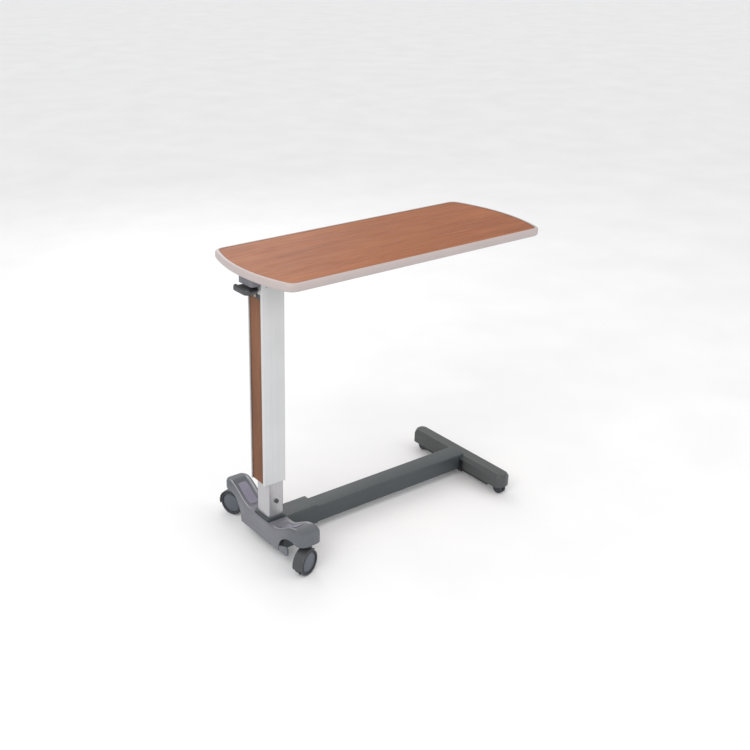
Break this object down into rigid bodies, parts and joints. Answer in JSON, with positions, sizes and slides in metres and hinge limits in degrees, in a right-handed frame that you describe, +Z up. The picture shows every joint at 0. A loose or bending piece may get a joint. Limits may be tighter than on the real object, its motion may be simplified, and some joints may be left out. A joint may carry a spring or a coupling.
{
  "type": "overbed table",
  "caption": "Overbed table with a bowed wood-look top, telescopic gas-lift column, squeeze lever and a low wheeled H base.",
  "frame": {"origin": "on the floor, at the middle of the footprint box at rest", "axes": "+Z up, +X from the column towards the free end of the top, +Y towards the rear caster"},
  "size_m": [0.904, 0.4412, 0.8112],
  "materials": {
    "laminate": "satin wood-look laminate",
    "strip_wood": "satin wood-look strip",
    "edge_plastic": "satin moulded edge band",
    "silver_paint": "silver painted extrusion",
    "cream_plastic": "matte",
    "cover_plastic": "fine-grained matte",
    "inlay_plastic": "satin",
    "dark_paint": "semi-gloss powder coat",
    "foot_paint": "semi-gloss powder coat",
    "dark_plastic": "matte",
    "black_plastic": "matte",
    "white_plastic": "matte",
    "tyre_rubber": "matte",
    "hub_plastic": "satin",
    "zinc": "zinc plated"
  },
  "bodies": {
    "base": {"inner_column": "silver_paint", "upper_glide": "white_plastic", "column_collar": "dark_paint", "foot_chassis": "dark_paint", "foot_cover": "cover_plastic", "cover_inlay_front": "inlay_plastic", "cover_inlay_rear": "inlay_plastic", "beam": "dark_paint", "beam_saddle": "dark_paint", "beam_flange": "black_plastic", "far_foot_shell": "foot_paint", "far_foot_tray": "black_plastic", "far_cap_front": "foot_paint", "far_cap_rear": "foot_paint", "gas_cylinder": "black_plastic", "gas_gland": "zinc", "gas_bolt": "dark_plastic", "gas_nut": "zinc"},
    "top": {"tabletop_board": "laminate", "tabletop_edge": "edge_plastic", "top_rail_front": "dark_paint", "top_rail_rear": "dark_paint", "top_screw_1": "zinc", "top_screw_2": "zinc", "top_screw_3": "zinc", "top_screw_4": "zinc", "head_plate": "dark_paint", "outer_column": "silver_paint", "column_strip": "strip_wood", "strip_cap": "dark_plastic", "cap_screw": "cream_plastic", "column_bezel": "silver_paint", "lower_glide": "black_plastic", "head_block": "dark_paint", "gas_rod": "zinc", "lever_pin": "zinc", "lever_housing": "cover_plastic"},
    "lever": {"release_lever": "dark_plastic"},
    "release": {"release_pin": "zinc"},
    "front_caster": {"front_caster_body": "dark_plastic", "front_caster_axle": "zinc"},
    "front_wheel_left": {"front_wheel_left_tyre": "tyre_rubber", "front_wheel_left_core": "hub_plastic"},
    "front_wheel_right": {"front_wheel_right_tyre": "tyre_rubber", "front_wheel_right_core": "hub_plastic"},
    "rear_caster": {"rear_caster_body": "dark_plastic", "rear_caster_axle": "zinc"},
    "rear_wheel_left": {"rear_wheel_left_tyre": "tyre_rubber", "rear_wheel_left_core": "hub_plastic"},
    "rear_wheel_right": {"rear_wheel_right_tyre": "tyre_rubber", "rear_wheel_right_core": "hub_plastic"},
    "far_front_caster": {"far_front_caster_body": "black_plastic", "far_front_caster_axle": "zinc"},
    "far_front_wheel_left": {"far_front_wheel_left": "tyre_rubber"},
    "far_front_wheel_right": {"far_front_wheel_right": "tyre_rubber"},
    "far_rear_caster": {"far_rear_caster_body": "black_plastic", "far_rear_caster_axle": "zinc"},
    "far_rear_wheel_left": {"far_rear_wheel_left": "tyre_rubber"},
    "far_rear_wheel_right": {"far_rear_wheel_right": "tyre_rubber"}
  },
  "joints": [
    {"name": "lift", "type": "slide", "parent": "base", "child": "top", "axis": [0, 0, 1], "range_m": [0, 0.25]},
    {"name": "lever_pivot", "type": "hinge", "parent": "top", "child": "lever", "pos_m": [-0.39, -0.00791, 0.762], "axis": [0, 1, 0], "range_deg": [0, 8], "stiffness_Nm_per_rad": 2, "springref_deg": -2.86},
    {"name": "pin_travel", "type": "slide", "parent": "top", "child": "release", "axis": [0, 0, -1], "range_m": [0, 0.005]},
    {"name": "front_swivel", "type": "hinge", "parent": "base", "child": "front_caster", "pos_m": [-0.366, -0.1889, 0], "axis": [0, 0, 1], "continuous": true},
    {"name": "front_wheel_left_spin", "type": "hinge", "parent": "front_caster", "child": "front_wheel_left", "pos_m": [-0.37728, -0.19301, 0.036], "axis": [0.342, -0.9397, 0], "continuous": true},
    {"name": "front_wheel_right_spin", "type": "hinge", "parent": "front_caster", "child": "front_wheel_right", "pos_m": [-0.37728, -0.19301, 0.036], "axis": [0.342, -0.9397, 0], "continuous": true},
    {"name": "rear_swivel", "type": "hinge", "parent": "base", "child": "rear_caster", "pos_m": [-0.366, 0.16709, 0], "axis": [0, 0, 1], "continuous": true},
    {"name": "rear_wheel_left_spin", "type": "hinge", "parent": "rear_caster", "child": "rear_wheel_left", "pos_m": [-0.3701, 0.17837, 0.036], "axis": [-0.9397, -0.342, 0], "continuous": true},
    {"name": "rear_wheel_right_spin", "type": "hinge", "parent": "rear_caster", "child": "rear_wheel_right", "pos_m": [-0.3701, 0.17837, 0.036], "axis": [-0.9397, -0.342, 0], "continuous": true},
    {"name": "far_front_swivel", "type": "hinge", "parent": "base", "child": "far_front_caster", "pos_m": [0.3455, -0.17791, 0], "axis": [0, 0, 1], "continuous": true},
    {"name": "far_front_wheel_left_spin", "type": "hinge", "parent": "far_front_caster", "child": "far_front_wheel_left", "pos_m": [0.3455, -0.18291, 0.0175], "axis": [1, 0, 0], "continuous": true},
    {"name": "far_front_wheel_right_spin", "type": "hinge", "parent": "far_front_caster", "child": "far_front_wheel_right", "pos_m": [0.3455, -0.18291, 0.0175], "axis": [1, 0, 0], "continuous": true},
    {"name": "far_rear_swivel", "type": "hinge", "parent": "base", "child": "far_rear_caster", "pos_m": [0.3455, 0.16209, 0], "axis": [0, 0, 1], "continuous": true},
    {"name": "far_rear_wheel_left_spin", "type": "hinge", "parent": "far_rear_caster", "child": "far_rear_wheel_left", "pos_m": [0.3455, 0.1571, 0.0175], "axis": [1, 0, 0], "continuous": true},
    {"name": "far_rear_wheel_right_spin", "type": "hinge", "parent": "far_rear_caster", "child": "far_rear_wheel_right", "pos_m": [0.3455, 0.1571, 0.0175], "axis": [1, 0, 0], "continuous": true}
  ],
  "couplings": [
    {"joint": "pin_travel", "follows": "lever_pivot", "m_per_rad": 0.0255}
  ]
}
